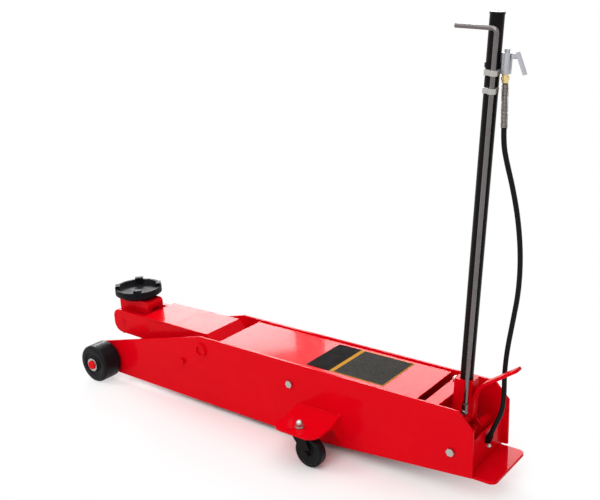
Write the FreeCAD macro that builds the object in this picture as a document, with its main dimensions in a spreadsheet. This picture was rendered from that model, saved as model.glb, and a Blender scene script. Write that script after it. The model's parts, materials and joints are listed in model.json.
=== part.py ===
import FreeCAD, Part
import math
import os
import Sketcher
from FreeCAD import Placement, Rotation, Vector

# Long-chassis air and hydraulic floor jack, in millimetres.
# +X points to the handle end, +Z up, and Z = 0 is the floor. The saddle is at -X.
# The origin is at the middle of the overall length and width.

SIZES = {
    # frame
    "overall_length": 1420, "pedal_overhang": 66, "frame_width": 200, "plate_thickness": 6,
    "plate_top": 226, "nose_bottom": 15, "nose_radius": 45, "rear_bottom": 59, "bend_from_rear": 469,
    "corner_length": 40, "corner_drop": 43, "fit_gap": 0.3, "running_gap": 0.05, "weld_gap": 0.05,
    # front wheels
    "wheel_radius": 60, "wheel_width": 66, "wheel_gap": 4, "axle_radius": 14, "washer_radius": 21,
    "washer_thickness": 4, "axle_end": 4,
    # covers
    "cover_drop": 4, "cover_thickness": 3, "cover_rear": 157, "cover_flange": 18, "cover_to_pivot": 67,
    "placard_rear": 260, "placard_length": 242, "placard_width": 155, "placard_thickness": 1,
    "strip_past_socket": 4, "strip_length": 38, "strip_thickness": 6,
    "panel_from_rear": 14, "panel_thickness": 6, "panel_top": 136,
    "foot_overhang": 52, "foot_inside": 60, "foot_thickness": 8, "foot_width": 176, "foot_corner": 18,
    # lifting arm
    "saddle_behind_axle": 56, "pin_before_saddle": 24, "pin_height": 176, "arm_reach": 389,
    "pivot_height": 184, "arm_half_width": 72, "cheek_thickness": 12, "arm_top": 223,
    "arm_plate_thickness": 4, "arm_plate_front": 271, "pivot_radius": 14, "sleeve_radius": 19,
    "arm_nose_half_width": 57, "arm_nose_reach": 42, "arm_nose_rise": 38, "arm_nose_drop": 38,
    "arm_nose_rear": 102, "arm_toe_reach": 56, "arm_toe_drop": 14, "arm_heel_reach": 30,
    "arm_heel_drop": 26, "arm_belly_drop": 23, "arm_belly_front": 62, "rest_gap": 0.6,
    "boss_radius": 20, "boss_height": 7, "arm_pin_radius": 10, "tube_radius": 14,
    "tube_behind_pin": 132, "tube_drop": 6, "pin_end": 2,
    "rest_before_pivot": 81, "rest_height": 129.4, "rest_radius": 9, "rest_inner": 56,
    # levelling links
    "link_ahead": 20, "link_drop": 38, "link_pin_radius": 8, "link_inner": 34, "link_thickness": 8,
    "link_half_height": 7, "open_pivot_gap": 0.6, "link_eye_radius": 13,
    # saddle
    "bracket_half_width": 32, "bracket_wall": 10, "bracket_top": 250, "bracket_roof": 24,
    "bracket_front": 34, "bracket_rear": 98, "bracket_heel_drop": 16, "bracket_toe_reach": 30,
    "bracket_toe_drop": 24, "slot_half_width": 15, "slot_height": 13, "stem_radius": 16, "stem_end": 4,
    "saddle_radius": 74,
    "saddle_rim": 284, "saddle_floor": 270, "saddle_edge": 264, "saddle_foot": 52, "rim_thickness": 8,
    "rim_slope": 7, "lug_top": 292, "lug_width": 26,
    "lug_depth": 15,
    # crank and ram
    "crank_radius": 90, "crank_angle": 27.5, "crank_inner": 14, "crank_thickness": 10,
    "crank_pin_radius": 9, "head_half_length": 20, "head_bottom": 72, "head_top": 126,
    "slot_side_gap": 0.9, "slot_end_gap": 1.5, "ram_radius": 14, "ram_height": 99, "ram_length": 251,
    "barrel_radius": 34, "barrel_from_pivot": 173, "barrel_rear": 400, "barrel_bore": 155,
    "jacket_radius": 46, "jacket_behind_front": 140,
    "block_rear": 330, "block_half_width": 60, "block_bottom": 60, "block_top": 150,
    "cradle_thickness": 12, "cradle_margin": 20,
    # handle
    "yoke_from_rear": 57, "yoke_height": 114, "yoke_shaft_radius": 9, "yoke_sleeve_radius": 15,
    "handle_lean": 3.75, "handle_ahead": 22, "handle_radius": 16, "handle_wall": 2.5,
    "handle_bottom": 44, "handle_top": 1004, "socket_side": 44, "socket_bottom": 40, "socket_top": 150,
    "yoke_plate_thickness": 6, "yoke_overlap": 22, "lug_reach": 30, "lug_inner": 10, "lug_thickness": 6,
    "lug_angle": 25, "roller_radius": 9, "clamp_drop": 14, "clamp_radius": 5, "clamp_reach": 5,
    "clamp_head_radius": 9.5, "pedal_bottom": 56, "pedal_corner": 130, "pedal_slope": 39,
    "pedal_reach": 102.96, "pedal_bend": 80, "pedal_thickness": 8, "pedal_width": 26,
    "rod_radius": 5, "rod_behind": 18, "rod_side": 35, "rod_bottom": 84, "rod_top": 978,
    "rod_bend": 10, "grip_length": 86, "ball_radius": 8.5, "ball_seat": 1.5, "collar_wall": 2.5,
    "collar_height": 16, "guide_height": 12, "guide_wall": 4, "guide_upper": 124, "guide_lower": 162,
    "cap_height": 5, "cap_plug": 20, "cap_lip": 1,
    "plunger_height": 85, "plunger_radius": 9, "pump_radius": 18, "pump_rear": 130, "plunger_length": 140,
    # air valve and hose
    "valve_height": 883, "valve_length": 44, "valve_radius": 12, "valve_behind": 30,
    "nub_height": 8, "nub_radius": 6, "band_rise": 10, "band_height": 12, "band_wall": 2.5,
    "bridge_half": 5, "ear_reach": 4.5, "ear_low": 12, "ear_top": 1,
    "fitting_length": 20, "fitting_radius": 7.5, "fitting_collar": 1.5, "relief_length": 97,
    "relief_radius": 8, "hose_radius": 6, "lever_length": 45, "lever_wall": 4, "lever_angle": 25,
    "lever_standoff": 7, "lever_heel": 5, "lever_cheek": 4, "lever_cheek_front": 3,
    "lever_pin_behind": 17, "lever_pin_drop": 6, "lever_pin_radius": 2, "ear_half": 3.5,
    "elbow_height": 112, "elbow_radius": 8, "elbow_reach": 5, "elbow_rise": 18, "elbow_inlet": 8,
    "elbow_slope": 70, "hose_drop": 33, "hose_climb": 30, "swivel_gap": 0.6,
    # casters
    "caster_from_rear": 448, "caster_side": 185, "caster_trail": 33, "caster_radius": 42,
    "caster_width": 27, "caster_headroom": 10, "flange_thickness": 6, "flange_side": 222,
    "bracket_length": 139, "bracket_rise": 14, "crown_thickness": 5, "crown_gap": 2,
    "fork_thickness": 4, "fork_gap": 2, "kingpin_radius": 6, "caster_axle_radius": 5,
    "crown_radius": 26, "shelf_length": 30, "leg_front": 18, "tread_chamfer": 3, "axle_nut_radius": 8,
    "axle_nut_height": 4, "strip_wall": 6, "strip_drop": 54, "web_reach": 50, "flange_corner": 32,
    "gusset_thickness": 5, "gusset_drop": 48, "gusset_front": 30, "gusset_rear": 36,
    "nut_washer": 3, "nut_washer_radius": 13, "nut_height": 9, "nut_dome": 9.4, "kingpin_head": 4,
    # bolts
    "bolt_radius": 8, "bolt_head_radius": 11, "bolt_head_height": 7, "tie_from_rear": 544, "tie_height": 163,
    "screw_height": 88, "screw_side": 14, "screw_radius": 6.5, "spacer_radius": 12, "shaft_end": 2,
    "stop_end": 1, "stub_inside": 2,
}

FACE_ROTATION = {
    "X": Rotation(Vector(0, 1, 0), 90),
    "Y": Rotation(Vector(1, 0, 0), -90),
    "Z": Rotation(),
}

# The route of the air hose as (x, y, z), between its straight ends at the strain relief and the elbow.
HOSE_INNER = [
    (660, 3, 804), (675, 7, 745), (688, 12, 672), (694, 18, 587), (690, 23, 501),
    (676, 27, 420), (663, 30, 344), (658, 31, 282), (661, 27, 236), (664, 12, 193),
]

doc = FreeCAD.newDocument("FloorJack")
sheet = doc.addObject("Spreadsheet::Sheet", "Sizes")
NODES = []


class Size:
    """A number together with the sheet expression that gives it."""

    def __init__(self, number, text):
        self.number = number
        self.text = text

    def _join(self, other, sign, number):
        return Size(number, f"({self.text} {sign} {as_size(other).text})")

    def __add__(self, other):
        return self._join(other, "+", self.number + as_size(other).number)

    def __sub__(self, other):
        return self._join(other, "-", self.number - as_size(other).number)

    def __mul__(self, other):
        return self._join(other, "*", self.number * as_size(other).number)

    def __rsub__(self, other):
        return as_size(other) - self

    def __truediv__(self, other):
        return self._join(other, "/", self.number / as_size(other).number)

    def __neg__(self):
        return Size(-self.number, f"(-1 * {self.text})")


def as_size(value):
    """Turn a plain number into a Size."""
    return value if isinstance(value, Size) else Size(value, repr(value))


def trig(function, degrees):
    """Take the sin, cos or tan of an angle in degrees; the sheet reads bare numbers as degrees."""
    return Size(getattr(math, function)(math.radians(degrees.number)), f"{function}({degrees.text})")


def fill_sheet():
    """Write the driving dimensions into the sheet and return them as Sizes."""
    sizes = {}
    for row, (name, number) in enumerate(SIZES.items(), start=1):
        sheet.set(f"A{row}", name)
        sheet.set(f"B{row}", str(number))
        sheet.setAlias(f"B{row}", name)
        sizes[name] = Size(number, f"Sizes.{name}")
    doc.recompute()
    return sizes


class Names:
    """Gives each driving dimension as an attribute."""

    def __init__(self, values):
        self.__dict__.update(values)


D = Names(fill_sheet())


def bind(item, path, value):
    """Bind one property to the sheet."""
    item.setExpression(path, as_size(value).text)


def place(item, x, y, z, rotation=None):
    """Bind an object's place and set its rotation."""
    if rotation is not None:
        item.Placement = Placement(Vector(), rotation)
    for axis, value in zip("xyz", (x, y, z)):
        bind(item, f"Placement.Base.{axis}", value)
    return item


def node(item, label):
    """Name an object as a sub-part to be exported."""
    item.Label = label
    NODES.append(item)
    return item


def box(x, y, z):
    """Make a box from three (low, high) pairs."""
    item = doc.addObject("Part::Box", "Box")
    for side, (low, high) in zip(("Length", "Width", "Height"), (x, y, z)):
        bind(item, side, as_size(high) - low)
    return place(item, x[0], y[0], z[0])


def rod(axis, start, end, first, second, radius):
    """Make a cylinder along an axis; first and second are its other two coordinates."""
    item = doc.addObject("Part::Cylinder", "Rod")
    bind(item, "Radius", radius)
    bind(item, "Height", as_size(end) - start)
    spots = {"X": (start, first, second), "Y": (first, start, second), "Z": (first, second, start)}
    return place(item, *spots[axis], rotation=FACE_ROTATION[axis])


def hexagon(start, height, x, z, radius):
    """Make a bolt head or nut along +Y."""
    item = doc.addObject("Part::Prism", "Hexagon")
    item.Polygon = 6
    bind(item, "Circumradius", radius)
    bind(item, "Height", height)
    return place(item, x, start, z, rotation=FACE_ROTATION["Y"])


def cut(base, *tools):
    """Cut the tools from the base, one after another."""
    for tool in tools:
        result = doc.addObject("Part::Cut", "Cut")
        result.Base = base
        result.Tool = tool
        base = result
    return base


def fuse(*items):
    """Join touching solids into one."""
    result = doc.addObject("Part::MultiFuse", "Fuse")
    result.Shapes = list(items)
    result.Refine = True
    return result


def common(first, second):
    """Keep what two shapes share."""
    result = doc.addObject("Part::Common", "Common")
    result.Base = first
    result.Tool = second
    return result


def dome(direction, x, y, z, radius):
    """Make a half ball that bulges along a direction from its flat face."""
    item = doc.addObject("Part::Sphere", "Dome")
    item.Angle1 = 0
    bind(item, "Radius", radius)
    return place(item, x, y, z, Rotation(Vector(0, 0, 1), Vector(*direction)))


def group(*items):
    """Keep separate solids together in one sub-part."""
    result = doc.addObject("Part::Compound", "Group")
    result.Links = list(items)
    return result


def tube(axis, start, end, first, second, outer, inner):
    """Make a tube with its bore right through."""
    return cut(rod(axis, start, end, first, second, outer), rod(axis, start, end, first, second, inner))


def on_handle(item):
    """Lean a piece that is modelled upright, with its origin at the yoke's shaft."""
    item.Placement = Placement(Vector(), Rotation(Vector(0, 1, 0), D.handle_lean.number))
    bind(item, "Placement.Rotation.Angle", D.handle_lean)
    bind(item, "Placement.Base.x", YOKE_X)
    bind(item, "Placement.Base.z", D.yoke_height)
    return item


def origin_plane(body, role):
    """Find one of a body's own origin planes."""
    return next(item for item in body.Origin.OriginFeatures if item.Role == role)


def draw_outline(sketch, points):
    """Draw a closed outline whose corners are bound to the sheet."""
    count = len(points)
    spots = [Vector(as_size(u).number, as_size(v).number, 0) for u, v in points]
    for index in range(count):
        sketch.addGeometry(Part.LineSegment(spots[index], spots[(index + 1) % count]), False)
    for index in range(count):
        sketch.addConstraint(Sketcher.Constraint("Coincident", index, 2, (index + 1) % count, 1))
    for index, (u, v) in enumerate(points):
        for kind, value in (("DistanceX", u), ("DistanceY", v)):
            made = sketch.addConstraint(
                Sketcher.Constraint(kind, -1, 1, index, 1, as_size(value).number))
            bind(sketch, f"Constraints[{made}]", value)


def draw_circle(sketch, u, v, radius):
    """Draw a circle whose centre and radius are bound to the sheet."""
    centre = Vector(as_size(u).number, as_size(v).number, 0)
    made = sketch.addGeometry(Part.Circle(centre, Vector(0, 0, 1), as_size(radius).number), False)
    for kind, value in (("DistanceX", u), ("DistanceY", v)):
        spot = sketch.addConstraint(Sketcher.Constraint(kind, -1, 1, made, 3, as_size(value).number))
        bind(sketch, f"Constraints[{spot}]", value)
    size = sketch.addConstraint(Sketcher.Constraint("Radius", made, as_size(radius).number))
    bind(sketch, f"Constraints[{size}]", radius)


def new_sketch(body, role, offset):
    """Make a sketch on one of the body's origin planes, moved along the plane's normal."""
    sketch = body.newObject("Sketcher::SketchObject", "Outline")
    sketch.AttachmentSupport = [(origin_plane(body, role), "")]
    sketch.MapMode = "FlatFace"
    bind(sketch, "AttachmentOffset.Base.z", offset)
    return sketch


def pad_outline(body, role, offset, thickness, points, holes=()):
    """Pad an outline with round holes evenly to both sides of its sketch."""
    sketch = new_sketch(body, role, offset)
    draw_outline(sketch, points)
    for hole in holes:
        draw_circle(sketch, *hole)
    pad = body.newObject("PartDesign::Pad", "Pad")
    pad.Profile = sketch
    pad.Midplane = True
    bind(pad, "Length", thickness)
    sketch.Visibility = False
    return pad


def corner_edges(pad, role, corner):
    """Find the edges of a pad that stand on one corner of its outline."""
    first, second = {"XZ_Plane": (0, 2), "XY_Plane": (0, 1), "YZ_Plane": (1, 2)}[role]
    u, v = (as_size(value).number for value in corner)
    found = []
    for index, edge in enumerate(pad.Shape.Edges, start=1):
        ends = [vertex.Point for vertex in edge.Vertexes]
        if len(ends) == 2 and all(abs(end[first] - u) + abs(end[second] - v) < 0.01 for end in ends):
            found.append(f"Edge{index}")
    return found


def round_corners(body, pad, role, rounds):
    """Round the given outline corners, each with its own radius."""
    base = pad
    for corner, radius in rounds:
        doc.recompute()
        fillet = body.newObject("PartDesign::Fillet", "Fillet")
        fillet.Base = (base, corner_edges(base, role, corner))
        bind(fillet, "Radius", radius)
        base = fillet
    return base


def plate(label, points, middle, thickness, holes=(), rounds=(), role="XZ_Plane"):
    """Make an upright plate; the XZ plane's normal is -Y."""
    body = doc.addObject("PartDesign::Body", "Body")
    offset = -as_size(middle) if role == "XZ_Plane" else middle
    pad = pad_outline(body, role, offset, thickness, points, holes)
    body.Tip = round_corners(body, pad, role, [(points[index], radius) for index, radius in rounds])
    if label:
        node(body, label)
    return body


SIDES = (("right", -1), ("left", 1))
REAR = D.overall_length / 2 - D.pedal_overhang
AXLE_X = D.wheel_radius - D.overall_length / 2
SADDLE_X = AXLE_X + D.saddle_behind_axle
PIN_X = SADDLE_X - D.pin_before_saddle
PIVOT_X = PIN_X + D.arm_reach
YOKE_X = REAR - D.yoke_from_rear
INNER = D.frame_width / 2 - D.plate_thickness
BETWEEN = INNER - D.fit_gap
PLATE_MIDDLE = D.frame_width / 2 - D.plate_thickness / 2
REST_X = PIVOT_X - D.rest_before_pivot
LINK_X = PIVOT_X - D.link_ahead
LINK_Z = D.pivot_height - D.link_drop
LINK_FRONT_X = PIN_X - D.link_ahead
LINK_FRONT_Z = D.pin_height - D.link_drop
TIE_X = REAR - D.tie_from_rear
FLANGE_BOTTOM = D.caster_radius * 2 + D.caster_headroom
ARM_NOSE_X = PIN_X - D.arm_nose_reach
ARM_TAPER = (D.arm_half_width - D.arm_nose_half_width) / (PIVOT_X - ARM_NOSE_X)


def side_plates():
    """Two cut steel plates, deepest in the middle, with a round nose at the front axle."""
    points = [
        (REAR, D.rear_bottom), (REAR, D.plate_top - D.corner_drop),
        (REAR - D.corner_length, D.plate_top), (PIVOT_X, D.plate_top),
        (AXLE_X - D.nose_radius, D.wheel_radius + D.nose_radius),
        (AXLE_X - D.nose_radius, D.nose_bottom), (REAR - D.bend_from_rear, D.nose_bottom),
    ]
    holes = [
        (AXLE_X, D.wheel_radius, D.axle_radius + D.weld_gap),
        (PIVOT_X, D.pivot_height, D.pivot_radius + D.weld_gap),
        (REST_X, D.rest_height, D.rest_radius + D.weld_gap),
        (TIE_X, D.tie_height, D.bolt_radius + D.weld_gap),
        (YOKE_X, D.yoke_height, D.yoke_shaft_radius + D.weld_gap),
    ]
    rounds = [(4, D.nose_radius - 5), (5, D.nose_radius - 2)]
    for side, sign in SIDES:
        plate(f"side_plate_{side}", points, PLATE_MIDDLE * sign, D.plate_thickness, holes, rounds)


def covers():
    """The folded top cover, its placard and the narrow strip behind it."""
    front = PIVOT_X + D.cover_to_pivot
    rear = REAR - D.cover_rear
    top = D.plate_top - D.cover_drop
    under = top - D.cover_thickness
    outside = box((front, rear), (-BETWEEN, BETWEEN), (under - D.cover_flange, top))
    inside = box((front, rear), (D.cover_thickness - BETWEEN, BETWEEN - D.cover_thickness),
                 (under - D.cover_flange, under))
    node(cut(outside, inside), "top_cover")
    placard_rear = REAR - D.placard_rear
    half = D.placard_width / 2
    node(box((placard_rear - D.placard_length, placard_rear), (-half, half),
             (top, top + D.placard_thickness)), "placard")
    strip_rear = YOKE_X - D.handle_ahead - D.socket_side / 2 + D.strip_past_socket
    node(box((strip_rear - D.strip_length, strip_rear), (-BETWEEN, BETWEEN),
             (top - D.strip_thickness, top)), "cross_strip")


def rear_end():
    """The upright rear panel and the foot plate that sticks out behind it."""
    rear = REAR - D.panel_from_rear
    panel = box((rear - D.panel_thickness, rear), (-BETWEEN, BETWEEN), (D.rear_bottom, D.panel_top))
    hole = rod("X", rear - D.panel_thickness, rear, 0, D.elbow_height, D.elbow_radius + D.weld_gap)
    node(cut(panel, hole), "rear_panel")
    half = D.foot_width / 2
    tip = REAR + D.foot_overhang
    front = REAR - D.foot_inside
    points = [(front, -half), (tip, -half), (tip, half), (front, half)]
    rounds = [(1, D.foot_corner), (2, D.foot_corner)]
    plate("foot_plate", points, D.rear_bottom - D.foot_thickness / 2, D.foot_thickness, (), rounds,
          "XY_Plane")


def front_wheels():
    """The front axle, its two wide wheels and the washers that keep them on."""
    inner = D.frame_width / 2 + D.wheel_gap
    outer = inner + D.wheel_width
    end = outer + D.washer_thickness + D.fit_gap * 2 + D.axle_end
    node(rod("Y", -end, end, AXLE_X, D.wheel_radius, D.axle_radius), "front_axle")
    for side, sign in SIDES:
        body = doc.addObject("PartDesign::Body", "Body")
        sketch = new_sketch(body, "XY_Plane", 0)
        bore = D.axle_radius + D.running_gap
        dish = D.washer_radius + 8
        draw_outline(sketch, [
            (bore, 0), (D.wheel_radius - 3, 0), (D.wheel_radius, 5), (D.wheel_radius, D.wheel_width - 6),
            (D.wheel_radius - 5, D.wheel_width), (dish + 10, D.wheel_width), (dish, D.wheel_width - 5),
            (D.washer_radius + 1, D.wheel_width - 5), (D.washer_radius + 1, D.wheel_width),
            (bore, D.wheel_width)])
        turned = body.newObject("PartDesign::Revolution", "Revolution")
        turned.Profile = sketch
        turned.ReferenceAxis = (sketch, ["V_Axis"])
        turned.Angle = 360
        body.Tip = turned
        turn = Rotation() if sign > 0 else Rotation(Vector(1, 0, 0), 180)
        place(node(body, f"front_wheel_{side}"), AXLE_X, inner * sign, D.wheel_radius, turn)
    rings = []
    for _, sign in SIDES:
        start = outer + D.fit_gap if sign > 0 else -outer - D.fit_gap - D.washer_thickness
        rings.append(tube("Y", start, start + D.washer_thickness, AXLE_X, D.wheel_radius,
                          D.washer_radius, D.axle_radius + D.weld_gap))
    node(group(*rings), "axle_washers")


def frame_fittings():
    """The arm's pivot shaft, its collars and spacers, the rest stops and the tie bolt."""
    half = D.frame_width / 2
    node(rod("Y", -half - D.shaft_end, half + D.shaft_end, PIVOT_X, D.pivot_height, D.pivot_radius),
         "arm_pivot_shaft")
    collars = []
    spacers = []
    stops = []
    stubs = []
    for _, sign in SIDES:
        low = half if sign > 0 else -half - D.boss_height
        collars.append(tube("Y", low, low + D.boss_height, PIVOT_X, D.pivot_height, D.boss_radius,
                            D.pivot_radius + D.weld_gap))
        gap = BETWEEN - D.arm_half_width - D.fit_gap
        low = D.arm_half_width + D.fit_gap if sign > 0 else -D.arm_half_width - D.fit_gap - gap
        spacers.append(tube("Y", low, low + gap, PIVOT_X, D.pivot_height, D.sleeve_radius,
                            D.pivot_radius + D.weld_gap))
        reach = half + D.boss_height + D.stop_end - D.rest_inner
        low = D.rest_inner if sign > 0 else -D.rest_inner - reach
        stops.append(rod("Y", low, low + reach, REST_X, D.rest_height, D.rest_radius))
        reach = INNER - D.link_inner + D.stub_inside
        low = D.link_inner - D.stub_inside if sign > 0 else -INNER
        stubs.append(rod("Y", low, low + reach, LINK_X, LINK_Z, D.link_pin_radius))
    node(group(*collars), "pivot_collars")
    spacers.append(tube("Y", -BETWEEN, BETWEEN, TIE_X, D.tie_height, D.spacer_radius,
                        D.bolt_radius + D.weld_gap))
    node(group(*spacers), "shaft_spacers")
    node(group(*stops, *stubs), "stops_and_stubs")
    for label, x, z, radius in (("tie_bolt", TIE_X, D.tie_height, D.bolt_radius),
                                ("yoke_shaft", YOKE_X, D.yoke_height, D.yoke_shaft_radius)):
        head = D.bolt_head_height
        shank = rod("Y", -half - head, half + head, x, z, radius)
        heads = [hexagon(half, head, x, z, D.bolt_head_radius),
                 hexagon(-half - head, head, x, z, D.bolt_head_radius)]
        pieces = [fuse(shank, *heads)]
        if label == "tie_bolt":
            rear = REAR - D.panel_from_rear
            pieces.append(dome((1, 0, 0), rear, D.screw_side, D.screw_height, D.screw_radius))
        node(group(*pieces), label)


def arm_half(x):
    """Half the arm's width at a place along it; it narrows evenly from the pivot to the nose."""
    return D.arm_half_width - (PIVOT_X - x) * ARM_TAPER


def tapered(item, front, inset, sign, label):
    """Trim one side of the arm to its taper, from the outer face inwards by the inset."""
    rear = PIVOT_X + D.arm_toe_reach + D.arm_plate_thickness * 2
    outer = [(front, arm_half(front)), (PIVOT_X, D.arm_half_width), (rear, D.arm_half_width)]
    inner = [(rear, D.arm_half_width - inset), (PIVOT_X, D.arm_half_width - inset),
             (front, arm_half(front) - inset)]
    plan = plate("", [(x, y * sign) for x, y in outer + inner], D.arm_top / 2, D.arm_top, role="XY_Plane")
    return node(common(item, plan), label)


def lifting_arm():
    """Two cheeks joined by the folded top plate, the pivot sleeve and the front tube."""
    under = D.arm_top - D.arm_plate_thickness
    front = PIVOT_X - D.arm_plate_front
    rest_top = D.rest_height + D.rest_radius + D.rest_gap
    brace_x = PIN_X + D.tube_behind_pin
    brace_z = D.pin_height - D.tube_drop
    nose_top = D.pin_height + D.arm_nose_rise
    outline = [
        (ARM_NOSE_X, D.pin_height - D.arm_nose_drop), (ARM_NOSE_X, nose_top),
        (PIN_X + D.arm_nose_rear, nose_top), (front, under), (PIVOT_X - D.arm_plate_thickness, under),
        (PIVOT_X + D.arm_toe_reach, D.pivot_height - D.arm_toe_drop),
        (PIVOT_X + D.arm_heel_reach, D.pivot_height - D.arm_heel_drop),
        (PIVOT_X + D.arm_plate_thickness * 2, D.pivot_height - D.arm_belly_drop),
        (PIVOT_X - D.arm_belly_front * 0.6, D.pivot_height - D.arm_belly_drop),
        (PIVOT_X - D.arm_belly_front, rest_top),
    ]
    holes = [
        (PIN_X, D.pin_height, D.arm_pin_radius + D.weld_gap),
        (PIVOT_X, D.pivot_height, D.sleeve_radius + D.weld_gap),
        (brace_x, brace_z, D.tube_radius + D.weld_gap),
    ]
    rounds = [(0, 32), (1, 28), (5, 5)]
    inner = D.arm_nose_half_width - D.cheek_thickness
    middle = (D.arm_half_width + inner) / 2
    for side, sign in SIDES:
        cheek = plate("", outline, middle * sign, D.arm_half_width - inner, holes, rounds)
        tapered(cheek, ARM_NOSE_X, D.cheek_thickness, sign, f"arm_cheek_{side}")
    toe_x = PIVOT_X + D.arm_toe_reach
    toe_z = D.pivot_height - D.arm_toe_drop
    lip = D.arm_plate_thickness
    folded = [
        (front, under), (front, D.arm_top), (PIVOT_X, D.arm_top), (toe_x + lip * 1.125, toe_z + lip * 0.375),
        (toe_x + lip * 0.375, toe_z - lip / 4), (PIVOT_X - lip * 0.875, under)]
    top_plate = plate("", folded, 0, D.arm_half_width * 2)
    tapered(top_plate, front, D.arm_half_width * 2, 1, "arm_top_plate")
    sleeve = tube("Y", -D.arm_half_width, D.arm_half_width, PIVOT_X, D.pivot_height, D.sleeve_radius,
                  D.pivot_radius + D.running_gap)
    brace_half = arm_half(brace_x) - D.stop_end
    brace = rod("Y", -brace_half, brace_half, brace_x, brace_z, D.tube_radius)
    node(group(sleeve, brace), "arm_tubes")
    reach = arm_half(PIN_X) + D.pin_end
    node(rod("Y", -reach, reach, PIN_X, D.pin_height, D.arm_pin_radius), "arm_pin")


def swung(item, x, z, angle):
    """Swing a piece that is modelled upright back about Y, with its pivot at the origin."""
    item.Placement = Placement(Vector(), Rotation(Vector(0, -1, 0), angle.number))
    bind(item, "Placement.Rotation.Angle", angle)
    bind(item, "Placement.Base.x", x)
    bind(item, "Placement.Base.z", z)
    return item


def crank():
    """Two crank plates welded to the sleeve, and the pin that the ram pushes."""
    plates = []
    outline = [(-24, 20), (24, 20), (15, -D.crank_radius - 15), (-15, -D.crank_radius - 15)]
    holes = [(0, 0, D.sleeve_radius + D.weld_gap),
             (0, -D.crank_radius, D.crank_pin_radius + D.weld_gap)]
    rounds = [(0, 16), (1, 16), (2, 12), (3, 12)]
    for _, sign in SIDES:
        middle = (D.crank_inner + D.crank_thickness / 2) * sign
        plates.append(plate("", outline, middle, D.crank_thickness, holes, rounds))
    end = D.crank_inner + D.crank_thickness
    pin = rod("Y", -end, end, 0, -D.crank_radius, D.crank_pin_radius)
    node(swung(group(*plates, pin), PIVOT_X, D.pivot_height, D.crank_angle), "crank")


def ram():
    """The ram and its slotted head, which pushes the crank pin."""
    angle = math.radians(D.crank_angle.number)
    pin_x = PIVOT_X + D.crank_radius * math.sin(angle)
    pin_low = D.pivot_height - D.crank_radius
    pin_high = D.pivot_height - D.crank_radius * math.cos(angle)
    reach = D.crank_pin_radius + D.slot_side_gap
    end = D.crank_pin_radius + D.slot_end_gap
    half = D.crank_inner - 0.5
    block = box((pin_x - D.head_half_length, pin_x + D.head_half_length), (-half, half),
                (D.head_bottom, D.head_top))
    slot = box((pin_x - reach, pin_x + reach), (-half, half), (pin_low - end, pin_high + end))
    node(cut(block, slot), "ram_head")
    start = pin_x + D.head_half_length
    node(rod("X", start, start + D.ram_length, 0, D.ram_height, D.ram_radius), "ram_rod")


def hydraulics():
    """The ram's barrel, the oil jacket, the valve block, its cradle, the pump and the air motor."""
    front = PIVOT_X + D.barrel_from_pivot
    rear = REAR - D.barrel_rear
    block_rear = REAR - D.block_rear
    barrel = rod("X", front, rear, 0, D.ram_height, D.barrel_radius)
    bore = rod("X", front, front + D.barrel_bore, 0, D.ram_height, D.ram_radius + D.running_gap)
    jacket = tube("X", front + D.jacket_behind_front, rear, 0, D.ram_height, D.jacket_radius,
                  D.barrel_radius + D.weld_gap)
    node(group(cut(barrel, bore), jacket), "ram_barrel")
    half = D.block_half_width
    node(box((rear, block_rear), (-half, half), (D.block_bottom, D.block_top)), "valve_block")
    node(box((rear, block_rear + D.cradle_margin), (-BETWEEN, BETWEEN),
             (D.block_bottom - D.cradle_thickness, D.block_bottom)), "block_cradle")
    pump_end = REAR - D.pump_rear
    barrel = rod("X", block_rear, pump_end, 0, D.plunger_height, D.pump_radius)
    bore = rod("X", pump_end - D.plunger_length, pump_end, 0, D.plunger_height,
               D.plunger_radius + D.running_gap)
    node(cut(barrel, bore), "pump_barrel")
    node(rod("X", block_rear, block_rear + 130, 50, 112, 25), "air_motor")
    spindle_front = block_rear + D.fit_gap
    node(rod("X", spindle_front, spindle_front + 190, -45, 125, 5), "release_spindle")


def pump_plunger():
    """The plunger that the roller on the handle pushes forwards."""
    angle = math.radians(D.lug_angle.number)
    roller_x = YOKE_X + D.lug_reach * math.sin(angle)
    end = roller_x - D.roller_radius - D.fit_gap * 2
    node(rod("X", end - D.plunger_length, end, 0, D.plunger_height, D.plunger_radius), "pump_plunger")


def levelling_links():
    """Two rods that keep the saddle level; their front pin has clearance."""
    bars = []
    for _, sign in SIDES:
        middle = (D.link_inner + D.link_thickness / 2) * sign
        eye = D.link_eye_radius
        start = D.link_inner if sign > 0 else -D.link_inner - D.link_thickness
        pieces = []
        for x, z in ((LINK_X, LINK_Z), (LINK_FRONT_X, LINK_FRONT_Z)):
            pieces.append(rod("Y", start, start + D.link_thickness, x, z, eye))
        low = D.link_half_height
        bar = plate("", [(LINK_FRONT_X, LINK_FRONT_Z - low), (LINK_X, LINK_Z - low),
                         (LINK_X, LINK_Z + low), (LINK_FRONT_X, LINK_FRONT_Z + low)],
                    middle, D.link_thickness)
        rear_hole = rod("Y", start, start + D.link_thickness, LINK_X, LINK_Z,
                        D.link_pin_radius + D.running_gap)
        front_hole = rod("Y", start, start + D.link_thickness, LINK_FRONT_X, LINK_FRONT_Z,
                         D.link_pin_radius + D.open_pivot_gap)
        bars.append(cut(fuse(bar, *pieces), rear_hole, front_hole))
    node(group(*bars), "levelling_links")


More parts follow.
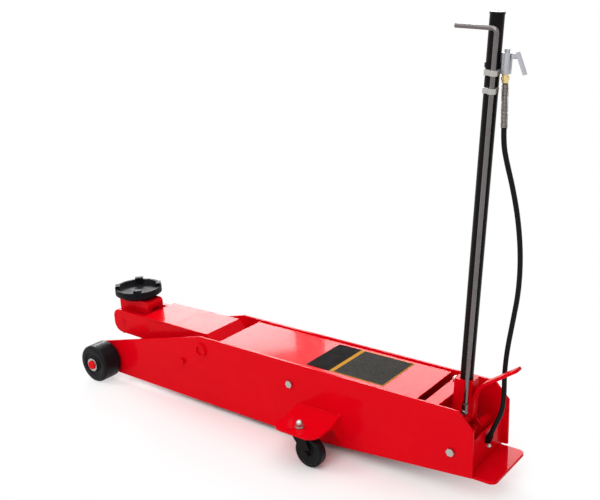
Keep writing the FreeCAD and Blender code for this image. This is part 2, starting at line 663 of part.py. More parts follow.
def saddle_bracket():
    """The bracket under the saddle: a roof, two ears and a rear wall, on the arm's and the links' pins."""
    half = D.bracket_half_width
    low = LINK_FRONT_Z - D.link_eye_radius
    front = PIN_X - D.bracket_front
    rear = PIN_X + D.bracket_rear
    points = [
        (front, low), (front, D.bracket_top), (rear, D.bracket_top),
        (rear, D.pin_height - D.bracket_heel_drop),
        (PIN_X + D.bracket_toe_reach, D.pin_height - D.bracket_toe_drop), (PIN_X, low)]
    holes = [(PIN_X, D.pin_height, D.arm_pin_radius + D.running_gap),
             (LINK_FRONT_X, LINK_FRONT_Z, D.link_pin_radius + D.weld_gap)]
    rounds = [(0, 12), (1, 10), (2, 12), (3, 12), (5, 12)]
    block = plate("", points, 0, half * 2, holes, rounds)
    inner = half - D.bracket_wall
    under = D.bracket_top - D.bracket_roof
    hollow = box((front - 1, rear - D.bracket_wall), (-inner, inner), (low - 1, under))
    slot = box((rear - D.bracket_wall - 1, rear + 1), (-D.slot_half_width, D.slot_half_width),
               (under - D.slot_height, under))
    hole = rod("Z", under, D.bracket_top, SADDLE_X, 0, D.stem_radius + D.running_gap)
    node(cut(block, hollow, slot, hole), "saddle_bracket")
    reach = D.link_inner + D.link_thickness + D.pin_end
    node(rod("Y", -reach, reach, LINK_FRONT_X, LINK_FRONT_Z, D.link_pin_radius), "link_pin")


def saddle():
    """The cast cup with four lugs round its rim, turning on its stem."""
    body = doc.addObject("PartDesign::Body", "Body")
    sketch = new_sketch(body, "XZ_Plane", 0)
    under = D.bracket_top + D.fit_gap
    stem_low = D.bracket_top - D.bracket_roof - D.stem_end
    draw_outline(sketch, [
        (0, stem_low), (D.stem_radius, stem_low),
        (D.stem_radius, under), (D.saddle_foot, under), (D.saddle_radius, D.saddle_edge),
        (D.saddle_radius, D.saddle_rim), (D.saddle_radius - D.rim_thickness, D.saddle_rim),
        (D.saddle_radius - D.rim_thickness - D.rim_slope, D.saddle_floor), (0, D.saddle_floor)])
    turned = body.newObject("PartDesign::Revolution", "Revolution")
    turned.Profile = sketch
    turned.ReferenceAxis = (sketch, ["V_Axis"])
    turned.Angle = 360
    lug = new_sketch(body, "XY_Plane", D.saddle_floor - 1)
    half = D.lug_width / 2
    inner = D.saddle_radius - D.lug_depth - 2
    outer = D.saddle_radius - 2
    draw_outline(lug, [(inner, -half), (outer, -half), (outer, half), (inner, half)])
    pad = body.newObject("PartDesign::Pad", "Pad")
    pad.Profile = lug
    bind(pad, "Length", D.lug_top - D.saddle_floor + 1)
    pattern = body.newObject("PartDesign::PolarPattern", "PolarPattern")
    pattern.Originals = [pad]
    pattern.Axis = (lug, ["N_Axis"])
    pattern.Angle = 360
    pattern.Occurrences = 4
    body.Tip = pattern
    turn = Rotation(Vector(0, 0, 1), 45)
    place(node(body, "saddle"), SADDLE_X, 0, 0, turn)


def handle_node(label, *items):
    """Group pieces of the handle, which are modelled upright, and lean them."""
    return node(on_handle(group(*items)), label)


def yoke():
    """The socket, its two plates, the sleeve on the shaft, the pump lugs, the bolt and the pedal."""
    axis = -D.handle_ahead
    half = D.socket_side / 2
    outside = box((axis - half, axis + half), (-half, half), (D.socket_bottom, D.socket_top))
    bore = rod("Z", D.handle_bottom, D.socket_top, axis, 0, D.handle_radius + D.weld_gap)
    handle_node("handle_socket", cut(outside, bore))
    plates = []
    top = D.socket_bottom + D.yoke_overlap
    outline = [(axis - half, 14), (axis - half, top), (axis + half, top), (axis + half, D.socket_bottom - 4),
               (19, 18), (19, -19), (-19, -19)]
    holes = [(0, 0, D.yoke_sleeve_radius + D.weld_gap)]
    for _, sign in SIDES:
        middle = (half + D.weld_gap + D.yoke_plate_thickness / 2) * sign
        plates.append(plate("", outline, middle, D.yoke_plate_thickness, holes,
                            [(0, 14), (1, 8), (2, 8), (4, 10), (5, 14), (6, 12)]))
    handle_node("yoke_plates", *plates, tube("Y", -BETWEEN, BETWEEN, 0, 0, D.yoke_sleeve_radius,
                                             D.yoke_shaft_radius + D.running_gap))
    lugs = []
    holes = [(0, 0, D.yoke_sleeve_radius + D.weld_gap)]
    outline = [(-19, 19), (19, 19), (9, -D.lug_reach - 9), (-9, -D.lug_reach - 9)]
    for _, sign in SIDES:
        middle = (D.lug_inner + D.lug_thickness / 2) * sign
        lugs.append(plate("", outline, middle, D.lug_thickness, holes, [(0, 12), (1, 12), (2, 7), (3, 7)]))
    reach = D.lug_inner - D.fit_gap
    lugs.append(rod("Y", -reach, reach, 0, -D.lug_reach, D.roller_radius))
    node(swung(group(*lugs), YOKE_X, D.yoke_height, D.lug_angle), "pump_lugs")
    bolt_z = D.socket_top - D.clamp_drop
    head_x = axis - half - D.clamp_reach
    shank = rod("X", head_x, axis - half, 0, bolt_z, D.clamp_radius)
    head = dome((-1, 0, 0), head_x, 0, bolt_z, D.clamp_head_radius)
    handle_node("clamp_bolt", fuse(shank, head))
    handle_node("pedal", pedal_bar(axis + half))


def pedal_bar(x):
    """A flat bar that climbs the socket's back face and bends over to the rear."""
    low = D.pedal_bottom
    sine = trig("sin", D.pedal_slope)
    cosine = trig("cos", D.pedal_slope)
    half = D.pedal_thickness / 2
    step = half * trig("tan", (90 - D.pedal_slope) / 2)
    tip_x = x + half + D.pedal_reach
    tip_z = D.pedal_corner + D.pedal_reach * trig("tan", D.pedal_slope)
    points = [
        (x, low), (x, D.pedal_corner + step), (tip_x - half * sine, tip_z + half * cosine),
        (tip_x + half * sine, tip_z - half * cosine), (x + D.pedal_thickness, D.pedal_corner - step),
        (x + D.pedal_thickness, low)]
    rounds = [(1, D.pedal_bend + half), (4, D.pedal_bend - half)]
    return plate("", points, 0, D.pedal_width, (), rounds)


def handle():
    """The handle tube with its cap, and the two guides for the release rod."""
    axis = -D.handle_ahead
    inner = D.handle_radius - D.handle_wall
    top = D.handle_top
    handle_node("handle_tube", tube("Z", D.handle_bottom, top, axis, 0, D.handle_radius, inner))
    handle_node("handle_cap", fuse(
        rod("Z", top, top + D.cap_height, axis, 0, D.handle_radius + D.cap_lip),
        rod("Z", top - D.cap_plug, top, axis, 0, inner)))
    guides = []
    rod_x = axis + D.rod_behind
    for below in (D.guide_upper, D.guide_lower):
        low = top - below
        high = low + D.guide_height
        eye = rod("Z", low, high, rod_x, -D.rod_side, D.rod_radius + D.guide_wall)
        web = box((axis - D.guide_wall, rod_x + D.guide_wall), (-D.rod_side, -D.handle_radius / 2),
                  (low, high))
        bore = rod("Z", low, high, rod_x, -D.rod_side, D.rod_radius + D.running_gap)
        around = rod("Z", low, high, axis, 0, D.handle_radius + D.weld_gap)
        guides.append(cut(fuse(eye, web), bore, around))
    handle_node("rod_guides", *guides)


def release_rod():
    """The bright rod beside the handle, bent over into a grip, with a ball joint at its foot."""
    x = D.rod_behind - D.handle_ahead
    y = -D.rod_side
    low = D.rod_bottom
    straight = rod("Z", low, D.rod_top - D.rod_bend, x, y, D.rod_radius)
    bend = doc.addObject("Part::Torus", "Bend")
    bind(bend, "Radius1", D.rod_bend)
    bind(bend, "Radius2", D.rod_radius)
    bend.Angle3 = 90
    place(bend, x - D.rod_bend, y, D.rod_top - D.rod_bend, Rotation(Vector(1, 0, 0), 90))
    grip = rod("X", x - D.rod_bend - D.grip_length, x - D.rod_bend, y, D.rod_top, D.rod_radius)
    ball = doc.addObject("Part::Sphere", "Ball")
    bind(ball, "Radius", D.ball_radius)
    place(ball, x, y, low - D.ball_radius + D.ball_seat)
    flat = rod("Z", low, low + D.ball_radius, x, y, D.ball_radius)
    collar = tube("Z", low + D.fit_gap, low + D.collar_height, x, y, D.rod_radius + D.collar_wall,
                  D.rod_radius + D.weld_gap)
    handle_node("release_rod", fuse(straight, bend, grip), cut(ball, flat), collar)


def air_valve():
    """The air valve strapped to the back of the handle, with its lever."""
    axis = -D.handle_ahead
    x = axis + D.valve_behind
    low = D.valve_height
    top = low + D.valve_length
    barrel = rod("Z", low, top, x, 0, D.valve_radius)
    nub = rod("Z", top, top + D.nub_height, x, 0, D.nub_radius)
    pin_x = x + D.lever_pin_behind
    pin_z = top - D.lever_pin_drop
    ear = box((x + D.valve_radius / 2, pin_x + D.ear_reach), (-D.ear_half, D.ear_half),
              (top - D.ear_low, top - D.ear_top))
    pin_hole = rod("Y", -D.ear_half, D.ear_half, pin_x, pin_z, D.lever_pin_radius + D.running_gap)
    handle_node("valve_body", cut(fuse(barrel, nub, ear), pin_hole))
    band_low = low + D.band_rise
    band_top = band_low + D.band_height
    band = tube("Z", band_low, band_top, axis, 0, D.handle_radius + D.band_wall, D.handle_radius + D.weld_gap)
    bridge = box((axis + D.handle_radius + D.band_wall / 2, x - D.valve_radius / 2),
                 (-D.bridge_half, D.bridge_half), (band_low, band_top))
    seat = rod("Z", band_low, band_top, x, 0, D.valve_radius + D.weld_gap)
    handle_node("valve_clamp", cut(fuse(band, bridge), seat))
    inner = D.ear_half + D.fit_gap
    outer = inner + D.lever_wall
    standoff = D.lever_standoff
    arm = box((standoff, standoff + D.lever_wall), (-outer, outer), (-D.lever_length, D.lever_heel))
    cheeks = [box((-D.lever_cheek_front, standoff), (y, y + D.lever_wall), (-D.lever_cheek, D.lever_cheek))
              for y in (inner, -outer)]
    pin = rod("Y", -outer, outer, 0, 0, D.lever_pin_radius)
    lever = fuse(arm, *cheeks, pin)
    place(lever, pin_x, 0, pin_z, Rotation(Vector(0, -1, 0), D.lever_angle.number))
    bind(lever, "Placement.Rotation.Angle", D.lever_angle)
    handle_node("valve_lever", lever)


def hose_end():
    """Where the hose hangs from the valve: the middle of the valve's lower face."""
    lean = math.radians(D.handle_lean.number)
    x = D.valve_behind.number - D.handle_ahead.number
    z = D.valve_height.number
    return (YOKE_X.number + x * math.cos(lean) + z * math.sin(lean),
            D.yoke_height.number + z * math.cos(lean) - x * math.sin(lean))


def elbow_turn():
    """Where the elbow's straight inlet meets its slanted outlet."""
    return REAR - D.panel_from_rear + D.elbow_reach


def hose_fittings():
    """The brass swivel and the spring strain relief at the top, and the elbow at the bottom."""
    x, top = hose_end()
    middle = top - D.fitting_length.number
    stem = rod("Z", middle, top - D.swivel_gap.number, x, 0, D.fitting_radius)
    ring = rod("Z", middle + D.fitting_length.number / 3, middle + D.fitting_length.number * 0.7, x, 0,
               D.fitting_radius + D.fitting_collar)
    node(fuse(stem, ring), "hose_swivel")
    node(rod("Z", middle - D.relief_length, middle, x, 0, D.relief_radius), "strain_relief")
    rear = REAR - D.panel_from_rear
    turn = elbow_turn()
    inlet = rod("X", rear - D.panel_thickness - D.elbow_inlet, turn, 0, D.elbow_height, D.elbow_radius)
    corner = doc.addObject("Part::Sphere", "Corner")
    bind(corner, "Radius", D.elbow_radius)
    place(corner, turn, 0, D.elbow_height)
    outlet = rod("Z", D.elbow_height, D.elbow_height + D.elbow_rise, turn, 0, D.elbow_radius)
    outlet.Placement = Placement(outlet.Placement.Base, Rotation(Vector(0, 1, 0), 90 - D.elbow_slope.number))
    bind(outlet, "Placement.Rotation.Angle", 90 - D.elbow_slope)
    node(fuse(inlet, corner, outlet), "hose_elbow")


def hose_points():
    """The hose's whole route, in order from the top."""
    x, top = hose_end()
    start = top - D.fitting_length.number - D.relief_length.number
    slope = math.radians(D.elbow_slope.number)
    ends = []
    for reach in (D.elbow_rise + D.hose_climb, D.elbow_rise):
        ends.append((elbow_turn().number + reach.number * math.cos(slope), 0,
                     D.elbow_height.number + reach.number * math.sin(slope)))
    return [Vector(*point) for point in [
        (x, 0, start), (x, 0, start - D.hose_drop.number), *HOSE_INNER, *ends]]


def hose_path(points):
    """Straight runs joined by tangent arcs, as one wire; the arcs' radii are printed."""
    edges = []
    at = points[0]
    radii = []
    for before, corner, after in zip(points, points[1:], points[2:]):
        back = (before - corner).normalize()
        ahead = (after - corner).normalize()
        reach = 0.45 * min((before - corner).Length, (after - corner).Length)
        half_turn = (math.pi - back.getAngle(ahead)) / 2
        radius = reach / math.tan(half_turn)
        radii.append(round(radius))
        arc_start = corner + back * reach
        arc_end = corner + ahead * reach
        bisector = (back + ahead).normalize()
        middle = corner + bisector * (radius / math.cos(half_turn) - radius)
        edges.append(Part.LineSegment(at, arc_start).toShape())
        edges.append(Part.Arc(arc_start, middle, arc_end).toShape())
        at = arc_end
    edges.append(Part.LineSegment(at, points[-1]).toShape())
    print("hose arc radii:", radii)
    return Part.Wire(edges)


def air_hose():
    """The black hose that hangs between the air valve and the rear panel."""
    path = hose_path(hose_points())
    start = path.Edges[0]
    direction = start.tangentAt(start.FirstParameter)
    profile = Part.Wire([Part.makeCircle(D.hose_radius.number, start.Vertexes[0].Point, direction)])
    swept = path.makePipeShell([profile], True, False)
    item = doc.addObject("Part::Feature", "Hose")
    item.Shape = swept
    item.Placement = Placement()
    expected = math.pi * D.hose_radius.number ** 2 * path.Length
    print("hose length", round(path.Length), "volume ratio", round(swept.Volume / expected, 4))
    node(item, "air_hose")


def casters():
    """Both casters: outrigger bracket, gussets, kingpin, fork, axle and wheel."""
    x = REAR - D.caster_from_rear
    half = D.frame_width / 2 + D.weld_gap
    top = FLANGE_BOTTOM + D.flange_thickness
    kingpins = []
    for side, sign in SIDES:
        y = D.caster_side * sign
        bracket(side, sign, x, half, top)
        head_top = FLANGE_BOTTOM - D.crown_gap - D.crown_thickness - D.fit_gap
        bolt = rod("Z", head_top, top + D.nut_washer, x, y, D.kingpin_radius)
        washer = rod("Z", top, top + D.nut_washer, x, y, D.nut_washer_radius)
        nut = doc.addObject("Part::Prism", "Nut")
        nut.Polygon = 6
        bind(nut, "Circumradius", D.bolt_head_radius)
        bind(nut, "Height", D.nut_height)
        place(nut, x, y, top + D.nut_washer)
        crown = dome((0, 0, 1), x, y, top + D.nut_washer + D.nut_height, D.nut_dome)
        head = rod("Z", head_top - D.kingpin_head, head_top, x, y, D.kingpin_radius + D.kingpin_head)
        kingpins.append(fuse(bolt, washer, nut, crown, head))
        fork(side, x, y)
    node(group(*kingpins), "kingpins")


def bracket(side, sign, x, half, top):
    """A welded outrigger: a backing strip, a sloping web, a round-cornered flange and two gussets."""
    wall = half + D.strip_wall
    outline = [(half, FLANGE_BOTTOM - D.strip_drop), (half, top + D.bracket_rise),
               (wall, top + D.bracket_rise), (half + D.web_reach, top), (D.flange_side, top),
               (D.flange_side, FLANGE_BOTTOM), (wall, FLANGE_BOTTOM), (wall, FLANGE_BOTTOM - D.strip_drop)]
    outline = [(y * sign, z) for y, z in outline]
    body = plate("", outline, x, D.bracket_length, role="YZ_Plane")
    doc.recompute()
    pad = body.Tip
    outer = D.flange_side.number * sign
    ends = [f"Edge{index}" for index, edge in enumerate(pad.Shape.Edges, start=1)
            if all(abs(v.Y - outer) < 0.01 for v in edge.Vertexes)
            and abs(edge.Vertexes[0].Z - edge.Vertexes[-1].Z) > 1]
    fillet = body.newObject("PartDesign::Fillet", "Corners")
    fillet.Base = (pad, ends)
    bind(fillet, "Radius", D.flange_corner)
    body.Tip = fillet
    y = D.caster_side * sign
    hole = rod("Z", FLANGE_BOTTOM, top, x, y, D.kingpin_radius + D.weld_gap)
    gussets = []
    for end, reach in ((-1, D.gusset_front), (1, D.gusset_rear)):
        middle = x + (D.bracket_length - D.gusset_thickness - 1) / 2 * end
        points = [(wall, FLANGE_BOTTOM), (wall, FLANGE_BOTTOM - D.gusset_drop),
                  (half + reach, FLANGE_BOTTOM)]
        gussets.append(plate("", [(v * sign, z) for v, z in points], middle, D.gusset_thickness,
                             role="YZ_Plane"))
    node(fuse(cut(body, hole), *gussets), f"caster_bracket_{side}")


def fork(side, x, y):
    """A caster fork that trails behind its kingpin, with its axle and wheel."""
    crown_top = FLANGE_BOTTOM - D.crown_gap
    crown_low = crown_top - D.crown_thickness
    axle_x = x + D.caster_trail
    axle_z = D.caster_radius
    inner = D.caster_width / 2 + D.fork_gap
    outer = inner + D.fork_thickness
    crown = rod("Z", crown_low, crown_top, x, y, D.crown_radius)
    shelf = box((x, x + D.shelf_length), (y - outer, y + outer), (crown_low, crown_top))
    legs = []
    for sign in (-1, 1):
        middle = y + (inner + outer) / 2 * sign
        points = [(x - D.leg_front, crown_top), (x + D.shelf_length, crown_top), (axle_x + 11, axle_z + 6),
                  (axle_x + 7, axle_z - 9), (axle_x - 8, axle_z - 9)]
        legs.append(plate("", points, middle, D.fork_thickness, (), [(2, 8), (3, 6), (4, 6)]))
    pin_hole = rod("Z", crown_low, crown_top, x, y, D.kingpin_radius + D.running_gap)
    axle_hole = rod("Y", y - outer, y + outer, axle_x, axle_z, D.caster_axle_radius + D.weld_gap)
    frame = cut(fuse(crown, shelf, *legs), pin_hole, axle_hole)
    nut = D.axle_nut_height
    shank = rod("Y", y - outer - nut, y + outer + nut, axle_x, axle_z, D.caster_axle_radius)
    heads = [hexagon(start, nut, axle_x, axle_z, D.axle_nut_radius)
             for start in (y + outer + D.weld_gap, y - outer - D.weld_gap - nut)]
    node(group(frame, fuse(shank, *heads)), f"caster_fork_{side}")
    half = D.caster_width / 2
    tread = rod("Y", y - half, y + half, axle_x, axle_z, D.caster_radius)
    rim = doc.addObject("Part::Chamfer", "Tread")
    rim.Base = tread
    doc.recompute()
    chamfer = D.tread_chamfer.number
    rim.Edges = [(index, chamfer, chamfer) for index, edge in enumerate(tread.Shape.Edges, start=1)
                 if edge.Length > math.pi * D.caster_radius.number]
    bore = rod("Y", y - half, y + half, axle_x, axle_z, D.caster_axle_radius + D.running_gap)
    node(cut(rim, bore), f"caster_wheel_{side}")


def check():
    """Stop if any object failed or any sub-part has no sound solid."""
    doc.recompute()
    for item in doc.Objects:
        if "Invalid" in item.State or "Error" in item.State:
            raise RuntimeError(f"{item.Name} ({item.Label}) failed: {item.State}")
    for item in NODES:
        if item.Shape.isNull() or not item.Shape.isValid() or not item.Shape.Solids:
            raise RuntimeError(f"{item.Label} has no sound solid")


def export():
    """Write each sub-part to its own file."""
    os.makedirs("parts", exist_ok=True)
    for item in NODES:
        item.Shape.exportStep(f"parts/{item.Label}.step")
    print(len(NODES), "sub-parts")


side_plates()
covers()
rear_end()
front_wheels()
frame_fittings()
lifting_arm()
crank()
ram()
hydraulics()
pump_plunger()
levelling_links()
saddle_bracket()
saddle()
yoke()
handle()
release_rod()
air_valve()
hose_fittings()
air_hose()
casters()
check()
export()
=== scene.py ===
"""The looks of a long-chassis air and hydraulic floor jack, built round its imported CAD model."""

import json
import math
import random

import bmesh
import bpy
from mathutils import Matrix, Vector

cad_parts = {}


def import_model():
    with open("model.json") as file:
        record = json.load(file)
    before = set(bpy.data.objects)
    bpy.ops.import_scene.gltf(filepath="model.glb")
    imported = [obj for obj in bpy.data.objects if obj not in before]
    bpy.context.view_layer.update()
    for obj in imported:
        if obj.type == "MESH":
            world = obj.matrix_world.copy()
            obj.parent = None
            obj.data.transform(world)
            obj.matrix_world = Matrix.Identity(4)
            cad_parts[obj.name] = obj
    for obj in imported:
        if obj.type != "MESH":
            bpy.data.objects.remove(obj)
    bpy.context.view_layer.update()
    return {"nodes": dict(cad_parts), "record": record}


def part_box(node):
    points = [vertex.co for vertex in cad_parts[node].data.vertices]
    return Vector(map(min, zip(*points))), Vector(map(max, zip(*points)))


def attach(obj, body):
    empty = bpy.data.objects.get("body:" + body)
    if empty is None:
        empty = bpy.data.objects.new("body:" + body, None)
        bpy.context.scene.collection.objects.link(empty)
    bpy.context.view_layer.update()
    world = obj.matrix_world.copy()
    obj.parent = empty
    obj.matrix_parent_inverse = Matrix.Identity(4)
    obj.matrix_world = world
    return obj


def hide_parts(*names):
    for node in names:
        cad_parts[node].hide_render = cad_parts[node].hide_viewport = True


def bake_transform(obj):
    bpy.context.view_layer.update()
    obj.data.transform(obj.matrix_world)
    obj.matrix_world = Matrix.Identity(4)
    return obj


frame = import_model()
SCENE = bpy.context.scene
MM = 0.001

# The camera, in metres and degrees.
CAMERA_PLACE = Vector((1.449, -1.737, 1.200))
CAMERA_YAW = 38.32
CAMERA_PITCH = 17.29
CAMERA_ROLL = -2.48
CAMERA_LENS_MM = 51.8
SENSOR_MM = 36

# The handle's frame: it stands on the yoke's shaft and leans back.
SHAFT = Vector((0.587, 0, 0.114))
HANDLE_LEAN = math.radians(3.75)

# The pedal bar on the socket's back face, in the handle's frame.
PEDAL_HALF = 0.013
PEDAL_LOW = 0.057
PEDAL_WELD_TOP = 0.096

# The hose's route, in metres, from the strain relief down to the elbow.
HOSE_RADIUS = 0.006
HOSE_TOP = Vector((0.65273, 0, 0.87759))
HOSE_DROP = 0.033
HOSE_INNER = [
    (0.660, 0.003, 0.804), (0.675, 0.007, 0.745), (0.688, 0.012, 0.672), (0.694, 0.018, 0.587),
    (0.690, 0.023, 0.501), (0.676, 0.027, 0.420), (0.663, 0.030, 0.344), (0.658, 0.031, 0.282),
    (0.661, 0.027, 0.236), (0.664, 0.012, 0.193),
]
HOSE_CLIMB = 0.030
ELBOW_SLOPE = math.radians(70)
HOSE_END = Vector((0.64116, 0, 0.12891))

# The weld beads' radii and the length of one ripple, in metres.
BEAD_RADIUS = 0.0016
BRACKET_BEAD_RADIUS = 0.0027
BOSS_BEAD_RADIUS = 0.0013
BEAD_RIPPLE = 0.0021

# The wheels' sections as (radius, distance from the inner face), in millimetres.
FRONT_WHEEL = [
    (14.05, 0), (50, 0), (54, 0.8), (57.6, 2.8), (59.4, 5.6), (60, 9), (60, 57), (59.4, 60.4),
    (57.6, 63.2), (54, 65.2), (50, 66), (42, 66), (40, 65.4), (37.5, 62.4), (35, 61.3), (28.5, 61),
    (26, 61.4), (24.8, 63), (23.8, 65.4), (22, 66), (14.05, 66),
]
CASTER_WHEEL = [
    (5.05, 0), (11, 0), (12, 1), (13, 3), (29, 3.6), (31, 2.8), (33, 0.6), (35, 0), (37.5, 0.2),
    (40.4, 1.6), (42, 4.6), (42, 22.4), (40.4, 25.4), (37.5, 26.8), (35, 27), (33, 26.4),
    (31, 24.2), (29, 23.4), (13, 24), (12, 26), (11, 27), (5.05, 27),
]

# The light that the world gives, and the floor's fade to white over a share of an ellipse.
WORLD_LIGHT = 0.38
FLOOR_HALF = 30.0
FLOOR_RADII = (1.25, 0.75)
FLOOR_FADE = (0.2, 0.8)

# Each lamp's place, target, size and power, in metres and watts.
LAMPS = {
    "key": ((0.6, -2.6, 2.6), (0, 0, 0.2), (2.6, 2.0), 50),
    "edge": ((-2.3, -1.5, 2.7), (0, 0, 0.2), (1.1, 1.1), 24),
    "top": ((0.0, 0.2, 3.2), (0, 0, 0), (3.6, 3.0), 38),
    "behind_saddle": ((-3.8, 3.0, 1.95), (-0.4, 0, 0.2), (2.2, 0.85), 114),
    "behind_handle": ((-1.2, 3.0, 1.95), (0.4, 0, 0.2), (1.5, 0.85), 64),
}


# ---------------------------------------------------------------- shader graphs

class Graph:
    """A small helper that builds one node material."""

    def __init__(self, name):
        self.material = bpy.data.materials.new(name)
        self.material.use_nodes = True
        self.tree = self.material.node_tree
        self.tree.nodes.clear()
        self.surface = self.node("ShaderNodeBsdfPrincipled")
        output = self.node("ShaderNodeOutputMaterial")
        self.link(self.surface.outputs["BSDF"], output.inputs["Surface"])
        self.place = self.node("ShaderNodeTexCoord").outputs["Object"]

    def node(self, kind, **inputs):
        """Add a node; a keyword is an input's name with underscores for spaces."""
        made = self.tree.nodes.new(kind)
        for key, value in inputs.items():
            self.put(made.inputs[key.replace("_", " ")], value)
        return made

    def link(self, source, target):
        self.tree.links.new(source, target)

    def put(self, socket, value):
        """Link an output to a socket, or set the socket's number."""
        if isinstance(value, bpy.types.NodeSocket):
            self.link(value, socket)
        else:
            socket.default_value = value

    def stretch(self, scale):
        """The object's coordinates scaled along each axis."""
        mapping = self.node("ShaderNodeMapping", Vector=self.place)
        mapping.inputs["Scale"].default_value = scale
        return mapping.outputs["Vector"]

    def noise(self, scale, detail=3.0, roughness=0.55, vector=None):
        made = self.node("ShaderNodeTexNoise", Vector=vector or self.place, Scale=scale, Detail=detail,
                         Roughness=roughness)
        return made.outputs["Fac"]

    def math(self, operation, first, second=0.0, clamp=False):
        made = self.tree.nodes.new("ShaderNodeMath")
        made.operation = operation
        made.use_clamp = clamp
        self.put(made.inputs[0], first)
        self.put(made.inputs[1], second)
        return made.outputs[0]

    def span(self, value, low, high, new_low=0.0, new_high=1.0):
        """Map a value's range to another, clamped."""
        made = self.node("ShaderNodeMapRange", Value=value)
        ends = (("From Min", low), ("From Max", high), ("To Min", new_low), ("To Max", new_high))
        for name, number in ends:
            made.inputs[name].default_value = number
        return made.outputs["Result"]

    def mix(self, factor, first, second):
        """Mix two colours, each an output or an (r, g, b)."""
        made = self.tree.nodes.new("ShaderNodeMix")
        made.data_type = "RGBA"
        self.put(made.inputs["Factor"], factor)
        for name, value in (("A", first), ("B", second)):
            socket = next(s for s in made.inputs if s.name == name and s.type == "RGBA")
            self.put(socket, (*value, 1) if isinstance(value, tuple) else value)
        return next(s for s in made.outputs if s.type == "RGBA")

    def edges(self, radius, low=0.02, high=0.25):
        """A mask that is 1 on worn outer edges, broken up by noise."""
        bevel = self.node("ShaderNodeBevel", Radius=radius)
        bevel.samples = 4
        geometry = self.node("ShaderNodeNewGeometry")
        dot = self.node("ShaderNodeVectorMath")
        dot.operation = "DOT_PRODUCT"
        self.link(bevel.outputs[0], dot.inputs[0])
        self.link(geometry.outputs["Normal"], dot.inputs[1])
        rim = self.span(self.math("SUBTRACT", 1.0, dot.outputs["Value"]), low, high)
        chips = self.span(self.noise(90.0, 5.0, 0.7), 0.52, 0.62)
        return self.math("MULTIPLY", rim, chips)

    def bump(self, height, strength, distance):
        made = self.node("ShaderNodeBump", Height=height, Strength=strength, Distance=distance)
        self.link(made.outputs["Normal"], self.surface.inputs["Normal"])

    def set(self, **values):
        """Set inputs of the surface shader."""
        for key, value in values.items():
            self.put(self.surface.inputs[key.replace("_", " ")], value)


def paint(name, colour, worn, gloss, coat, roughness):
    """Sprayed enamel: orange peel, faint cloudiness and small chips on the edges."""
    graph = Graph(name)
    cloud = graph.span(graph.noise(3.5, 4.0), 0.35, 0.7)
    base = graph.mix(cloud, tuple(channel * 0.92 for channel in colour), colour)
    chips = graph.math("MULTIPLY", graph.edges(0.0010), worn)
    graph.set(Base_Color=graph.mix(chips, base, (0.12, 0.095, 0.09)))
    graph.set(Roughness=graph.span(graph.noise(26.0, 4.0), 0.3, 0.7, roughness - 0.05, roughness + 0.06))
    graph.set(Specular_IOR_Level=gloss, Coat_Weight=coat, Coat_Roughness=0.06, Coat_IOR=1.25)
    graph.bump(graph.noise(70.0, 2.0), 0.02, 0.0005)
    return graph.material


def metal(name, colour, roughness, stretch, scratch, tint=(0.5, 0.47, 0.42)):
    """Metal with fine directional scratches and a little tarnish."""
    graph = Graph(name)
    lines = graph.noise(260.0, 3.0, 0.6, graph.stretch(stretch))
    tarnish = graph.span(graph.noise(42.0, 5.0, 0.65), 0.5, 0.8, 0.0, 0.35)
    shade = tuple(channel * share for channel, share in zip(colour, tint))
    graph.set(Base_Color=graph.mix(tarnish, colour, shade), Metallic=1.0)
    rough = graph.span(lines, 0.3, 0.7, roughness - 0.05, roughness + 0.08)
    graph.set(Roughness=graph.math("ADD", rough, tarnish))
    graph.bump(lines, scratch, 0.0003)
    return graph.material


def rubber(name, colour, roughness, grain):
    """Moulded rubber: fine grain and a trace of pale dust."""
    graph = Graph(name)
    dust = graph.span(graph.noise(22.0, 6.0, 0.7), 0.55, 0.9, 0.0, 0.2)
    graph.set(Base_Color=graph.mix(dust, colour, (0.05, 0.048, 0.046)))
    graph.set(Roughness=graph.span(graph.noise(60.0, 4.0), 0.3, 0.7, roughness - 0.06, roughness + 0.1))
    graph.set(Specular_IOR_Level=0.10)
    graph.bump(graph.noise(grain, 4.0, 0.7), 0.18, 0.0006)
    return graph.material


def casting(name):
    """A black painted casting: pitted, with the high edges rubbed to grey metal."""
    graph = Graph(name)
    rubbed = graph.edges(0.002, 0.01, 0.16)
    cloud = graph.span(graph.noise(30.0, 5.0), 0.35, 0.75)
    base = graph.mix(cloud, (0.004, 0.004, 0.005), (0.010, 0.010, 0.014))
    graph.set(Base_Color=graph.mix(rubbed, base, (0.20, 0.19, 0.18)))
    graph.set(Metallic=graph.math("MULTIPLY", rubbed, 0.8))
    graph.set(Roughness=graph.span(graph.noise(75.0, 5.0), 0.3, 0.7, 0.42, 0.58))
    graph.set(Specular_IOR_Level=0.07)
    graph.bump(graph.noise(210.0, 5.0, 0.7), 0.3, 0.0008)
    return graph.material


